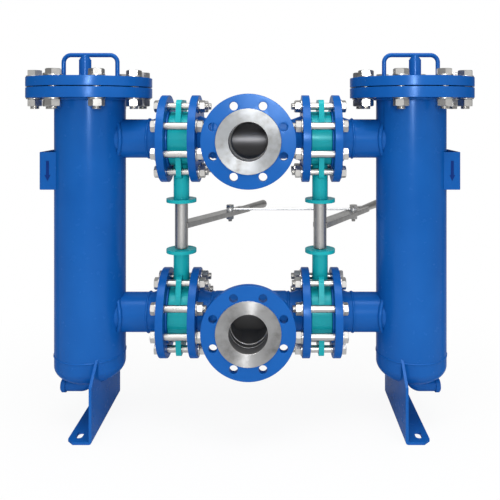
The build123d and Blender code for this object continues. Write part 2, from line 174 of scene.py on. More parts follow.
class Surface(NodeTree):
    """Material whose patterns read Object coordinates."""

    def __init__(self, name):
        self.material = bpy.data.materials.new(name)
        self.material.use_nodes = True
        super().__init__(self.material.node_tree)
        self.shader = self.tree.nodes["Principled BSDF"]
        self.place = self.add("TexCoord").outputs["Object"]

    def set(self, **values):
        for key, value in values.items():
            self.feed(self.shader.inputs[key.replace("_", " ")], value)
        return self

    def noise(self, scale, detail, grain=(1, 1, 1)):
        mapping = self.add("Mapping")
        mapping.inputs["Scale"].default_value = grain
        texture = self.add("TexNoise")
        texture.inputs["Scale"].default_value = scale
        texture.inputs["Detail"].default_value = detail
        texture.inputs["Roughness"].default_value = NOISE_ROUGHNESS
        self.link(self.place, mapping.inputs["Vector"])
        self.link(mapping.outputs[0], texture.inputs["Vector"])
        return texture.outputs["Fac"]

    def pattern(self, scale, detail, band=NOISE_BAND, out=(0.0, 1.0), grain=(1, 1, 1)):
        """Noise whose usual band is spread over a range of values."""
        return self.ramp(self.noise(scale, detail, grain), *band, *out)

    def paint(self, color, deep):
        """Paint that clouds between two tones."""
        return self.mix(self.pattern(scale=7.0, detail=4.0, band=CLOUD_BAND), color, deep)

    def edge_gloss(self):
        """Less gloss where the paint turns away, as in a dim workshop."""
        node = self.add("LayerWeight")
        node.inputs["Blend"].default_value = 0.5
        gloss = (FACE_ON_GLOSS, EDGE_ON_GLOSS)
        self.set(Specular_IOR_Level=self.ramp(node.outputs["Facing"], *TURNING_AWAY, *gloss))

    def bump(self, height, strength, distance):
        node = self.add("Bump")
        node.inputs["Strength"].default_value = strength
        node.inputs["Distance"].default_value = distance
        self.link(height, node.inputs["Height"])
        self.set(Normal=node.outputs[0])

    def flat_from(self, axis, center):
        """Vector away from an axis through a centre, where axis is X, Y or Z."""
        shift = self.add("VectorMath", "SUBTRACT")
        shift.inputs[1].default_value = center
        flat = self.add("VectorMath", "MULTIPLY")
        flat.inputs[1].default_value = tuple(0.0 if name == axis else 1.0 for name in "XYZ")
        self.link(self.place, shift.inputs[0])
        self.link(shift.outputs[0], flat.inputs[0])
        return flat.outputs[0]

    def radius_about(self, axis, center):
        return self.length(self.flat_from(axis, center))

    def rings_of(self, radius):
        """Fine rings that a lathe leaves on a face."""
        return self.math("SINE", self.math("MULTIPLY", radius, 2 * math.pi / RING_PITCH))

    def along(self, axis):
        node = self.add("SeparateXYZ")
        self.link(self.place, node.inputs[0])
        return node.outputs[axis]


# Colours, linear, with the deeper tone and the tint of the gloss where there is one
BLUE = (0.0062, 0.096, 0.370)
BLUE_DEEP = (0.0040, 0.080, 0.325)
BLUE_GLOSS = (0.34, 0.56, 1.0)
ARROW_BLUE = (0.004, 0.022, 0.130)
TEAL = (0.010, 0.390, 0.425)
TEAL_DEEP = (0.008, 0.330, 0.365)
TEAL_GLOSS = (0.45, 1.0, 1.0)
BARE = (0.62, 0.61, 0.60)
BARE_STAINED = (0.40, 0.385, 0.37)
MILL = (0.21, 0.207, 0.21)
ZINC = (0.52, 0.51, 0.49)
STAINLESS = (0.41, 0.405, 0.395)
ROD = (0.90, 0.90, 0.89)
SHEET = (0.6, 0.6, 0.6)
BRONZE = (0.55, 0.36, 0.16)
RUBBER = (0.02, 0.02, 0.02)
FIBRE = (0.03, 0.05, 0.12)
# The inlet face's two tones are set darker than the outlet's as painted shade, toning down the key
# lamp's glare on that face
INLET_TURNED_WITH_PAINTED_SHADE = (0.25, 0.26, 0.27)
INLET_STAIN_WITH_PAINTED_SHADE = (0.15, 0.145, 0.135)
OUTLET_TURNED = (0.33, 0.33, 0.33)
OUTLET_STAINED = (0.20, 0.195, 0.19)

# Roughness, metallic share, and how much darker or lighter a pattern's other tone is
PAINT_ROUGHNESS = 0.26
MILL_ROUGHNESS = 0.42
MILL_METALLIC = 0.6
BARE_METALLIC = 0.9
METAL_SHADE = 0.78
DULL_LIGHT = 1.5
DULL_SPREAD = 0.15


def enamel(name, color, deep, gloss):
    """Sprayed gloss enamel with a faint orange-peel skin."""
    surface = Surface(name).set(Specular_Tint=gloss)
    surface.edge_gloss()
    surface.set(Base_Color=surface.paint(color, deep))
    surface.set(Roughness=surface.pattern(scale=60.0, detail=2.0, out=(0.20, 0.28)))
    surface.bump(surface.noise(scale=420.0, detail=2.0), strength=0.12, distance=0.0006)
    return surface


def flange_enamel(name, center_z):
    """Enamelled flange whose sealing face and bore were left bare."""
    surface = Surface(name).set(Specular_Tint=BLUE_GLOSS)
    surface.edge_gloss()
    radius = surface.radius_about("Y", (0, 0, center_z))
    depth = surface.along("Y")
    wobble = surface.pattern(scale=90.0, detail=3.0, out=(-0.0006, 0.0006))
    on_face = surface.math("LESS_THAN", surface.math("ADD", radius, wobble), FACE_R)
    face = surface.math("MULTIPLY", on_face, surface.math("LESS_THAN", depth, FACE_DEPTH))
    bore = surface.math("LESS_THAN", radius, BORE_R)
    neck = surface.math("MULTIPLY", bore, surface.math("GREATER_THAN", depth, NECK_DEPTH))
    bare = surface.math("MAXIMUM", face, bore)
    stain = surface.pattern(scale=24.0, detail=5.0, band=(0.35, 0.75))
    steel = surface.mix(neck, surface.mix(stain, BARE, BARE_STAINED), MILL)
    steel_roughness = surface.ramp(stain, 0.0, 1.0, out_low=0.34, out_high=0.5)
    steel_metallic = surface.mix_value(neck, BARE_METALLIC, MILL_METALLIC)
    surface.set(Base_Color=surface.mix(bare, surface.paint(BLUE, BLUE_DEEP), steel))
    surface.set(Metallic=surface.mix_value(bare, 0.0, steel_metallic))
    surface.set(Roughness=surface.mix_value(bare, PAINT_ROUGHNESS, steel_roughness))
    rings = surface.math("MULTIPLY", surface.rings_of(radius), face)
    surface.bump(rings, strength=0.25, distance=0.0002)
    return surface


def turned_face(name, center_z, color, stained, grain):
    """Bare face with the fine rings of the lathe, stained by handling."""
    surface = Surface(name).set(Metallic=1.0, Anisotropic=grain)
    center = (0, 0, center_z)
    stain = surface.pattern(scale=22.0, detail=5.0, band=(0.38, 0.68))
    streak = surface.pattern(scale=70.0, detail=4.0, band=CLOUD_BAND)
    surface.set(Base_Color=surface.mix(surface.math("MULTIPLY", stain, streak), color, stained))
    surface.set(Roughness=surface.ramp(stain, 0.0, 1.0, out_low=0.38, out_high=0.48))
    rings = surface.rings_of(surface.radius_about("Y", center))
    surface.bump(rings, strength=0.06, distance=0.0001)
    return surface.set(Tangent=surface.flat_from("Y", center))


def metal(name, color, roughness, grain=(1, 1, 1), scale=180.0, strength=0.1):
    """Bare metal whose roughness varies between two values along its grain."""
    surface = Surface(name).set(Metallic=1.0)
    shaded = tuple(METAL_SHADE * part for part in color)
    tone = surface.pattern(scale / 4, detail=4.0, grain=grain)
    surface.set(Base_Color=surface.mix(tone, color, shaded))
    surface.set(Roughness=surface.pattern(scale, detail=3.0, out=roughness, grain=grain))
    surface.bump(surface.noise(scale * 3, detail=2.0, grain=grain), strength, distance=0.0004)
    return surface


def header_paint():
    """Enamel outside and dark mill scale inside the header pipes."""
    surface = enamel("header enamel", BLUE, BLUE_DEEP, BLUE_GLOSS)
    in_front = surface.math("LESS_THAN", surface.along("Y"), HEADER_Y)
    inside = 0.0
    for height in HEIGHTS.values():
        center = (0, HEADER_Y, height)
        in_run = surface.math("LESS_THAN", surface.radius_about("X", center), BORE_R)
        in_outlet = surface.math("LESS_THAN", surface.radius_about("Y", center), BORE_R)
        in_outlet = surface.math("MULTIPLY", in_outlet, in_front)
        for part in (in_run, in_outlet):
            inside = surface.math("MAXIMUM", inside, part)
    surface.set(Base_Color=surface.mix(inside, surface.paint(BLUE, BLUE_DEEP), MILL))
    surface.set(Metallic=surface.mix_value(inside, 0.0, MILL_METALLIC))
    return surface.set(Roughness=surface.mix_value(inside, PAINT_ROUGHNESS, MILL_ROUGHNESS))


def dull(name, color, roughness, scale):
    """Rubber, fibre sheet or flat paint."""
    surface = Surface(name)
    lighter = tuple(min(1.0, DULL_LIGHT * part) for part in color)
    shades = (roughness, roughness + DULL_SPREAD)
    surface.set(Base_Color=surface.mix(surface.noise(scale, detail=4.0), color, lighter))
    surface.set(Roughness=surface.pattern(scale * 2, detail=2.0, out=shades))
    surface.bump(surface.noise(scale * 4, detail=2.0), strength=0.1, distance=0.0003)
    return surface


SMOOTH_METAL = {"scale": 60.0, "strength": 0.02}
BRUSHED = (6, 6, 0.5)

blue_enamel = enamel("blue enamel", BLUE, BLUE_DEEP, BLUE_GLOSS).material
teal_enamel = enamel("teal enamel", TEAL, TEAL_DEEP, TEAL_GLOSS).material
header_enamel = header_paint().material
inlet_enamel = flange_enamel("inlet flange enamel", 0.0).material
outlet_enamel = flange_enamel("outlet flange enamel", LOWER_Z).material
zinc = metal("zinc plate", ZINC, roughness=(0.26, 0.36), **SMOOTH_METAL).material
stainless = metal("brushed stainless", STAINLESS, roughness=(0.38, 0.46), grain=BRUSHED,
                  **SMOOTH_METAL).material
rod_steel = metal("link rod steel", ROD, roughness=(0.4, 0.5), **SMOOTH_METAL).material
sheet_steel = metal("perforated sheet", SHEET, roughness=(0.3, 0.45)).material
bronze = metal("bush bronze", BRONZE, roughness=(0.35, 0.5)).material
liner_rubber = dull("liner rubber", RUBBER, roughness=0.6, scale=80.0).material
gasket_fibre = dull("gasket fibre", FIBRE, roughness=0.7, scale=120.0).material
arrow_paint = dull("arrow paint", ARROW_BLUE, roughness=0.5, scale=60.0)
arrow_paint = arrow_paint.set(Specular_IOR_Level=0.05).material
# Inlet sealing face: its tones carry painted shade against the key lamp's glare, on top of the
# random handling stains
inlet_face = turned_face("inlet face", 0.0, INLET_TURNED_WITH_PAINTED_SHADE, INLET_STAIN_WITH_PAINTED_SHADE, grain=0.75).material
outlet_face = turned_face("outlet face", LOWER_Z, OUTLET_TURNED, OUTLET_STAINED,
                          grain=0.95).material

SLOT_MATERIALS = {
    "blue_paint": blue_enamel,
    "valve_paint": teal_enamel,
    "rubber_liner": liner_rubber,
    "gasket_sheet": gasket_fibre,
    "bush_bronze": bronze,
    "zinc_steel": zinc,
    "stainless_steel": stainless,
    "basket_steel": sheet_steel,
}
NODE_MATERIALS = {
    "upper_tee": header_enamel,
    "lower_tee": header_enamel,
    "side_flanges": header_enamel,
    "left_branch_pipes": header_enamel,
    "right_branch_pipes": header_enamel,
    "inlet_flange": inlet_enamel,
    "outlet_flange": outlet_enamel,
    "link_rod": rod_steel,
}


# Finish of the nodes: bent plates keep crisp cut edges, the rest is rounded a little
BENT_PLATES = ("left_foot", "right_foot")
JOIN_REACH = 0.00002
CORNER_ANGLE = math.radians(30)
EDGE_ANGLE = math.radians(40)
EDGE_WIDTH = 0.0008
EDGE_SEGMENTS = 2
FLAT_WEIGHT = 100


def dress_nodes():
    """Gives each node its material, joins its loose triangles and finishes its edges."""
    for part in frame["record"]["subparts"]:
        name = part["node"]
        node = nodes[name]
        material = NODE_MATERIALS.get(name, SLOT_MATERIALS[part["material_slot"]])
        node.data.materials.clear()
        node.data.materials.append(material)
        node.data.shade_smooth()
        weld = node.modifiers.new("join", "WELD")
        weld.merge_threshold = JOIN_REACH
        if name in BENT_PLATES:
            split = node.modifiers.new("corners", "EDGE_SPLIT")
            split.split_angle = CORNER_ANGLE
            continue
        edge = node.modifiers.new("edges", "BEVEL")
        edge.width = EDGE_WIDTH
        edge.segments = EDGE_SEGMENTS
        edge.limit_method = "ANGLE"
        edge.angle_limit = EDGE_ANGLE
        edge.use_clamp_overlap = True
        flat = node.modifiers.new("flats", "WEIGHTED_NORMAL")
        flat.mode = "FACE_AREA"
        flat.weight = FLAT_WEIGHT


# Forms: how finely they are turned, the shares that shape their edges, and a bead's ripples
WASHER_STEPS = 40
SHANK_STEPS = 32
THREAD_STEPS = 28
FACE_STEPS = 128
WASHER_EDGE = 0.18
HEX_CUTS = 5
HEX_FLAT = 0.96
HEX_SLOPE = math.tan(math.radians(30))
THREAD_ROOT = 0.9
THREAD_TIP = 0.78
THREAD_FLANKS = (0.1, 0.5, 0.9)
MERGE_REACH = 1e-7
BEAD_SIDES = 8
BEAD_STEPS = 48
RIPPLE_PITCH = 0.0022
RIPPLE = 0.16
DRIFTS = ((0.08, 0.7), (0.05, 0.23))


def spun(form, geometry, steps):
    """Spins verts and edges once about Z."""
    bmesh.ops.spin(form, geom=geometry, cent=(0, 0, 0), axis=(0, 0, 1), angle=2 * math.pi,
                   steps=steps, use_merge=True)


def lathe(outline, steps, closed=False):
    """Turned form: an outline of (radius, height) points spun once about Z."""
    form = bmesh.new()
    points = [form.verts.new((radius, 0, height)) for radius, height in outline]
    lines = [form.edges.new(pair) for pair in zip(points, points[1:])]
    if closed:
        lines.append(form.edges.new((points[-1], points[0])))
    spun(form, points + lines, steps)
    bmesh.ops.remove_doubles(form, verts=form.verts, dist=1e-6)
    bmesh.ops.recalc_face_normals(form, faces=form.faces)
    return form


def picked(items, kind):
    return [item for item in items if isinstance(item, kind)]


def hexagon(corner, height, chamfers=(True, True)):
    """Hexagonal prism from z = 0 up, its ends turned to the arcs of a real nut."""
    form = bmesh.new()
    bmesh.ops.create_circle(form, segments=6, radius=corner, cap_ends=False)
    bmesh.ops.subdivide_edges(form, edges=form.edges, cuts=HEX_CUTS)
    flat_r = corner * math.cos(math.radians(30)) * HEX_FLAT
    lines = list(form.edges)
    for level, inward, chamfered in ((0.0, 1.0, chamfers[0]), (height, -1.0, chamfers[1])):
        if level > 0:
            grown = bmesh.ops.extrude_edge_only(form, edges=lines)["geom"]
            lines = picked(grown, bmesh.types.BMEdge)
        for vert in {vert for edge in lines for vert in edge.verts}:
            reach = math.hypot(vert.co.x, vert.co.y)
            drop = (reach - flat_r) * HEX_SLOPE if chamfered else 0.0
            vert.co.z = level + inward * drop
        cap = bmesh.ops.extrude_edge_only(form, edges=lines)["geom"]
        for vert in picked(cap, bmesh.types.BMVert):
            reach = math.hypot(vert.co.x, vert.co.y)
            factor = flat_r / reach if chamfered else 1.0
            vert.co = (vert.co.x * factor, vert.co.y * factor, level)
        bmesh.ops.edgenet_fill(form, edges=picked(cap, bmesh.types.BMEdge))
    bmesh.ops.remove_doubles(form, verts=form.verts, dist=MERGE_REACH)
    bmesh.ops.recalc_face_normals(form, faces=form.faces)
    return form


def washer(inner, outer, thickness, bottom):
    edge = thickness * WASHER_EDGE
    return lathe([
        (inner, bottom),
        (outer - edge, bottom),
        (outer, bottom + edge),
        (outer, bottom + thickness - edge),
        (outer - edge, bottom + thickness),
        (inner, bottom + thickness),
    ], WASHER_STEPS, closed=True)


def shank(radius, low, high):
    return lathe([(0, low), (radius, low), (radius, high), (0, high)], SHANK_STEPS)


def thread(radius, low, high, pitch):
    """Threaded end: close-set grooves and a chamfered tip at the high end."""
    turns = max(1, round((high - low) / pitch))
    pitch = (high - low) / turns
    root = radius * THREAD_ROOT
    outline = [(0, low), (root, low)]
    for turn in range(turns):
        z = low + turn * pitch
        rise, crest, fall = (z + pitch * share for share in THREAD_FLANKS)
        outline += [(root, rise), (radius, crest), (root, fall)]
    outline += [(radius * THREAD_TIP, high), (0, high)]
    return lathe(outline, THREAD_STEPS)


def bead(pipe_r, size, steps=0):
    """Weld bead: a ring with the close ripples of its runs, its size an offset and a thickness."""
    offset, thickness = size
    radius = pipe_r + offset
    count = steps or max(BEAD_STEPS, int(2 * math.pi * radius / RIPPLE_PITCH))
    stand = Matrix.Translation((radius, 0, 0)) @ Matrix.Rotation(math.pi / 2, 4, "X")
    form = bmesh.new()
    bmesh.ops.create_circle(form, segments=BEAD_SIDES, radius=thickness, matrix=stand)
    spun(form, list(form.verts) + list(form.edges), count)
    bmesh.ops.remove_doubles(form, verts=form.verts, dist=MERGE_REACH)
    for vert in form.verts:
        step = round(math.atan2(vert.co.y, vert.co.x) / (2 * math.pi) * count)
        drift = sum(depth * math.sin(step * pace) for depth, pace in DRIFTS)
        swell = 1.0 + RIPPLE * (step % 2) + drift
        reach = math.hypot(vert.co.x, vert.co.y)
        grown = radius + (reach - radius) * swell
        vert.co = (vert.co.x * grown / reach, vert.co.y * grown / reach, vert.co.z * swell)
    bmesh.ops.recalc_face_normals(form, faces=form.faces)
    return form


def raised(height):
    return Matrix.Translation((0, 0, height))


def place_along(point, direction):
    """Matrix that stands a form's +Z along a direction at a point."""
    turn = Vector(direction).to_track_quat("Z", "Y").to_matrix().to_4x4()
    return Matrix.Translation(point) @ turn


SHARP_FROM = 32
ALL_SMOOTH = 180


def add_piece(name, forms, material, body, replaced=(), sharp=SHARP_FROM):
    """One object from several forms, each with the matrices that it is set at."""
    joined = bmesh.new()
    for form, matrices in forms:
        mesh = bpy.data.meshes.new("form")
        form.to_mesh(mesh)
        form.free()
        for matrix in matrices:
            copy = mesh.copy()
            copy.transform(matrix)
            joined.from_mesh(copy)
            bpy.data.meshes.remove(copy)
        bpy.data.meshes.remove(mesh)
    mesh = bpy.data.meshes.new(name)
    joined.to_mesh(mesh)
    joined.free()
    mesh.shade_smooth()
    mesh.set_sharp_from_angle(angle=math.radians(sharp))
    mesh.materials.append(material)
    piece = bpy.data.objects.new(name, mesh)
    bpy.context.scene.collection.objects.link(piece)
    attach(piece, body)
    if replaced:
        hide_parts(*replaced)
    return piece


BOLT_COUNT = 8
PITCH_TURNS = [2 * math.pi * (k + 0.5) / BOLT_COUNT for k in range(BOLT_COUNT)]


def ring_places(point, direction, radius):
    """Places on a pitch circle whose holes straddle the axes."""
    base = place_along(point, direction)
    out = Matrix.Translation((radius, 0, 0))
    return [base @ Matrix.Rotation(turn, 4, "Z") @ out for turn in PITCH_TURNS]


# Fasteners: radii of shanks, hexagon corners, washers and pitch circles, then the lengths
# and the pitches of the threads
WASHER_T = 0.003
THREAD_OVERLAP = 0.001
FLIP = Matrix.Rotation(math.pi, 4, "X")
HEAD_UP = (False, True)
HEAD_DOWN = (True, False)

CLAMP_R = 0.008
CLAMP_HEX = 0.0139
CLAMP_WASHER_R = 0.0155
CLAMP_PITCH_R = 0.080
CLAMP_SPAN = 0.086
CLAMP_HEAD = 0.010
CLAMP_NUT = 0.013
CLAMP_TAIL = 0.007
CLAMP_THREAD = 0.002

COVER_BOLT_R = 0.010
COVER_HEX = 0.0173
COVER_WASHER_R = 0.0185
COVER_PITCH_R = 0.120
COVER_HEAD = 0.0125
COVER_NUT = 0.016
COVER_TAIL = 0.006
COVER_THREAD = 0.0025
COVER_NUT_LOW = FLANGE_LOW - WASHER_T - COVER_NUT
NUT_CLEARANCE = 0.0003

LINK_BOLT_R = 0.005
LINK_HEX = 0.0106
LINK_WASHER_R = 0.0105
LINK_WASHER_T = 0.002
LINK_HEAD = 0.007
LINK_NUT = 0.009
LINK_TAIL = 0.006
LINK_THREAD = 0.0015


def lifted(places, height):
    return [place @ raised(height) for place in places]


def clamp_bolts():
    """Long bolts over the valves, each with a head, two washers, a nut and a threaded end."""
    places = []
    for height in HEIGHTS.values():
        for sign in SIDES.values():
            start = (sign * (VALVE_X + CLAMP_SPAN / 2), HEADER_Y, height)
            places += ring_places(start, (-sign, 0, 0), CLAMP_PITCH_R)
    nut_low = CLAMP_SPAN + WASHER_T
    tail_low = nut_low + CLAMP_NUT
    head = hexagon(CLAMP_HEX, CLAMP_HEAD, HEAD_DOWN)
    tail = thread(CLAMP_R, tail_low - THREAD_OVERLAP, tail_low + CLAMP_TAIL, CLAMP_THREAD)
    return [
        (shank(CLAMP_R, -WASHER_T, nut_low), places),
        (washer(CLAMP_R, CLAMP_WASHER_R, WASHER_T, -WASHER_T), places),
        (washer(CLAMP_R, CLAMP_WASHER_R, WASHER_T, CLAMP_SPAN), places),
        (head, lifted(places, -WASHER_T - CLAMP_HEAD)),
        (hexagon(CLAMP_HEX, CLAMP_NUT), lifted(places, nut_low)),
        (tail, places),
    ]


def cover_places(sign):
    return ring_places((sign * VESSEL_X, HEADER_Y, 0), (0, 0, 1), COVER_PITCH_R)


def cover_bolts(sign):
    """Bolts of one cover, each with a washer, a head and a threaded end."""
    places = cover_places(sign)
    tails = [place @ FLIP for place in lifted(places, COVER_NUT_LOW + THREAD_OVERLAP)]
    return [
        (shank(COVER_BOLT_R, COVER_NUT_LOW, COVER_TOP + WASHER_T), places),
        (washer(COVER_BOLT_R, COVER_WASHER_R, WASHER_T, COVER_TOP), places),
        (hexagon(COVER_HEX, COVER_HEAD, HEAD_UP), lifted(places, COVER_TOP + WASHER_T)),
        (thread(COVER_BOLT_R, 0.0, COVER_TAIL + THREAD_OVERLAP, COVER_THREAD), tails),
    ]


def cover_nuts():
    """Nuts of both covers with their washers, which stay when a cover is lifted."""
    places = [place for sign in SIDES.values() for place in cover_places(sign)]
    bore_r = COVER_BOLT_R + NUT_CLEARANCE
    return [
        (washer(bore_r, COVER_WASHER_R, WASHER_T, FLANGE_LOW - WASHER_T), places),
        (hexagon(COVER_HEX, COVER_NUT), lifted(places, COVER_NUT_LOW)),
    ]


def link_fasteners(side):
    """Bolt of a lever's link, with its head, two washers, nut and threaded end."""
    lever_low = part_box(side + "_lever")[0].z
    head_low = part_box(side + "_link_bolt")[1].z - LINK_HEAD
    nut_low = lever_low - LINK_WASHER_T - LINK_NUT
    bolt = middle(side + "_link_bolt")
    places = [Matrix.Translation((bolt.x, bolt.y, 0))]
    tails = [place @ FLIP for place in lifted(places, nut_low + THREAD_OVERLAP)]
    upper_washer = washer(LINK_BOLT_R, LINK_WASHER_R, LINK_WASHER_T, head_low - LINK_WASHER_T)
    lower_washer = washer(LINK_BOLT_R, LINK_WASHER_R, LINK_WASHER_T, lever_low - LINK_WASHER_T)
    return [
        (shank(LINK_BOLT_R, nut_low, head_low), places),
        (upper_washer, places),
        (hexagon(LINK_HEX, LINK_HEAD, HEAD_UP), lifted(places, head_low)),
        (thread(LINK_BOLT_R, 0.0, LINK_TAIL + THREAD_OVERLAP, LINK_THREAD), tails),
        (lower_washer, places),
        (hexagon(LINK_HEX, LINK_NUT), lifted(places, nut_low)),
    ]


def add_fasteners():
    for side in SIDES:
        replaced = [side + "_link_bolt", side + "_link_nut"]
        add_piece(side + "_link_fasteners", link_fasteners(side), zinc, side + "_changeover",
                  replaced)
    add_piece("valve_clamp_bolts", clamp_bolts(), zinc, "root", ["clamp_bolts"])
    add_piece("cover_nut_set", cover_nuts(), zinc, "root", ["cover_nuts"])
    for side, sign in SIDES.items():
        add_piece(side + "_cover_bolt_set", cover_bolts(sign), zinc, side + "_cover",
                  [side + "_cover_bolts"])


# Welds: how far each bead's ring stands out from its pipe, and how thick it is
SEAM_BEAD = (-0.0008, 0.002)
COLLAR_BEAD = (0.002, 0.0045)
BRANCH_BEAD = (0.001, 0.0045)
BUTT_BEAD = (-0.001, 0.003)
HANDLE_BEAD = (0.0012, 0.0025)
STUB_BEAD = (0.0005, 0.0028)
HANDLE_BEAD_STEPS = 30
HANDLE_R = 0.005
NECK_END_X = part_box("right_branch_pipes")[0].x
TEE_END_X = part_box("upper_tee")[1].x
TEE_FRONT_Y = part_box("inlet_flange")[1].y


def saddle_bead():
    """Ring bead bent round the shell, where a branch pipe meets it."""
    form = bead(PIPE_R, BRANCH_BEAD)
    for vert in form.verts:
        off_axis = min(abs(vert.co.y), SHELL_R)
        vert.co.z -= SHELL_R - math.sqrt(SHELL_R ** 2 - off_axis ** 2)
    return form


def add_vessel_welds():
    rings = []
    for sign in SIDES.values():
        axis = Matrix.Translation((sign * VESSEL_X, HEADER_Y, 0))
        rings.append((bead(SHELL_R, SEAM_BEAD), [axis @ raised(SEAM_Z)]))
        rings.append((bead(SHELL_R, COLLAR_BEAD), [axis @ raised(FLANGE_LOW)]))
        for height in HEIGHTS.values():
            foot = (sign * (VESSEL_X - SHELL_R), HEADER_Y, height)
            rings.append((saddle_bead(), [place_along(foot, (-sign, 0, 0))]))
            for pipe_x in (NECK_END_X, TEE_END_X):
                place = place_along((sign * pipe_x, HEADER_Y, height), (sign, 0, 0))
                rings.append((bead(PIPE_R, BUTT_BEAD), [place]))
    for height in HEIGHTS.values():
        place = place_along((0, TEE_FRONT_Y, height), (0, 1, 0))
        rings.append((bead(PIPE_R, BUTT_BEAD), [place]))
    add_piece("weld_beads", rings, blue_enamel, "root", sharp=ALL_SMOOTH)


def add_cover_welds():
    for side in SIDES:
        low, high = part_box(side + "_cover_handle")
        feet = [(x, HEADER_Y, COVER_TOP) for x in (low.x + HANDLE_R, high.x - HANDLE_R)]
        stub = middle(side + "_vent_stub")
        stub_r = span(side + "_vent_stub")[0] / 2
        handle_bead = bead(HANDLE_R, HANDLE_BEAD, HANDLE_BEAD_STEPS)
        beads = [
            (handle_bead, [Matrix.Translation(foot) for foot in feet]),
            (bead(stub_r, STUB_BEAD), [Matrix.Translation((stub.x, stub.y, COVER_TOP))]),
        ]
        add_piece(side + "_cover_welds", beads, blue_enamel, side + "_cover",
                  sharp=ALL_SMOOTH)


# Perforated baskets
HOLE_R = 0.0036
HOLE_SIDES = 8
FLOOR_HOLE_R = HOLE_R * 0.9
HOLE_PITCH = 0.0105
SHEET_T = 0.0008
SHEET_MERGE = 1e-5
WALL_INSET = 0.001
FLOOR_LIFT = 0.001
FLOOR_BAND = 0.002
CENTER_SIDES = 24
CENTER_OVERLAP = 1.02
RIM_T = 0.005
RIM_INSET = 0.002
BASKET_BEAD = (-0.001, 0.0015)
BASKET_BEAD_LIFT = 0.0015


def on_wall(radius, u, v):
    """Point of a round wall, from a length round it and a height."""
    turn = u / radius
    return (radius * math.cos(turn), radius * math.sin(turn), v)


def on_floor(ring_r, level, u, v):
    """Point of a floor, from a length round a ring and a distance out from it."""
    turn = u / ring_r
    return ((ring_r + v) * math.cos(turn), (ring_r + v) * math.sin(turn), level)


def holed_cell(form, place, center, size, hole_r):
    """One cell of perforated sheet: eight quads between the cell's edge and its round hole."""
    half_w, half_h = size[0] / 2, size[1] / 2
    edge = [(half_w, 0), (half_w, half_h), (0, half_h), (-half_w, half_h),
            (-half_w, 0), (-half_w, -half_h), (0, -half_h), (half_w, -half_h)]
    turns = [2 * math.pi / HOLE_SIDES * k for k in range(HOLE_SIDES)]
    hole = [(hole_r * math.cos(turn), hole_r * math.sin(turn)) for turn in turns]
    outer, inner = (
        [form.verts.new(place(center[0] + u, center[1] + v)) for u, v in points]
        for points in (edge, hole)
    )
    for k in range(HOLE_SIDES):
        form.faces.new((outer[k - 1], outer[k], inner[k], inner[k - 1]))


def perforated_wall(radius, low, high):
    """Wall of holes in rows, every other row set half a pitch on."""
    around = round(2 * math.pi * radius / HOLE_PITCH)
    rows = round((high - low) / HOLE_PITCH)
    width, height = 2 * math.pi * radius / around, (high - low) / rows
    form = bmesh.new()
    for row in range(rows):
        for column in range(around):
            center = ((column + 0.5 * (row % 2)) * width, low + (row + 0.5) * height)
            holed_cell(form, partial(on_wall, radius), center, (width, height), HOLE_R)
    return form


def perforated_floor(radius, level):
    """Floor of holes in rings round a plain centre."""
    rings = round(radius / HOLE_PITCH)
    step = radius / rings
    form = bmesh.new()
    for ring in range(1, rings):
        ring_r = (ring + 0.5) * step
        count = round(2 * math.pi * ring_r / HOLE_PITCH)
        width = 2 * math.pi * ring_r / count
        place = partial(on_floor, ring_r, level)
        for k in range(count):
            holed_cell(form, place, (k * width, 0), (width, step), FLOOR_HOLE_R)
    bmesh.ops.create_circle(form, segments=CENTER_SIDES, radius=step * CENTER_OVERLAP,
                            cap_ends=True, matrix=raised(level))
    return form


def sheet(form):
    """Gives a surface the thickness of the sheet."""
    bmesh.ops.remove_doubles(form, verts=form.verts, dist=SHEET_MERGE)
    bmesh.ops.recalc_face_normals(form, faces=form.faces)
    bmesh.ops.solidify(form, geom=form.faces, thickness=SHEET_T)
    bmesh.ops.recalc_face_normals(form, faces=form.faces)
    return form


def add_baskets():
    for side, sign in SIDES.items():
        cage = side + "_basket_cage"
        low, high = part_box(cage)
        x = sign * VESSEL_X
        floor_points = [vert.co for vert in nodes[cage].data.vertices
                        if vert.co.z < low.z + FLOOR_BAND]
        radius = max(math.hypot(point.x - x, point.y - HEADER_Y) for point in floor_points)
        rim_r = span(cage)[0] / 2
        rim_low = high.z - RIM_T
        place = Matrix.Translation((x, HEADER_Y, 0))
        forms = [
            (sheet(perforated_wall(radius - WALL_INSET, low.z, rim_low)), [place]),
            (sheet(perforated_floor(radius - WALL_INSET, low.z + FLOOR_LIFT)), [place]),
            (washer(radius - RIM_INSET, rim_r, RIM_T, rim_low), [place]),
            (bead(radius, BASKET_BEAD), lifted([place], low.z + BASKET_BEAD_LIFT)),
        ]
        add_piece(side + "_perforated_basket", forms, sheet_steel, side + "_basket",
                  [cage])


# Sealing faces of the front flanges, and the weld roots and machined rings inside their necks
FACE_LIFT = 0.0001
FACE_LIP = 0.00005
FACE_SINK = 0.0004
FACE_BORE_R = 0.0418
FACE_BORE_EDGE = 0.0003
FACE_EDGE = 0.0006
ROOT_BEAD = (0.0003, 0.0026)
RING_INNER_R = FACE_BORE_R - 0.0009
RING_OUTER_R = FACE_BORE_R + 0.0006
RING_T = 0.006
RING_BACK = 0.022


def add_front_faces():
    for side, height, material in (("inlet", 0.0, inlet_face), ("outlet", LOWER_Z, outlet_face)):
        face = lathe([
            (FACE_BORE_R, -FACE_SINK),
            (FACE_BORE_R, FACE_LIFT - FACE_LIP),
            (FACE_BORE_R + FACE_BORE_EDGE, FACE_LIFT),
            (FACE_R - FACE_EDGE, FACE_LIFT),
            (FACE_R, -FACE_SINK),
        ], FACE_STEPS)
        place = place_along((0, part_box(side + "_flange")[0].y, height), (0, -1, 0))
        add_piece(side + "_sealing_face", [(face, [place])], material, "root")
    places = [place_along((0, TEE_FRONT_Y, height), (0, 1, 0)) for height in HEIGHTS.values()]
    roots = [
        (bead(FACE_BORE_R, ROOT_BEAD), places),
        (washer(RING_INNER_R, RING_OUTER_R, RING_T, -RING_BACK), places),
    ]
    add_piece("weld_roots", roots, stainless, "root", sharp=ALL_SMOOTH)


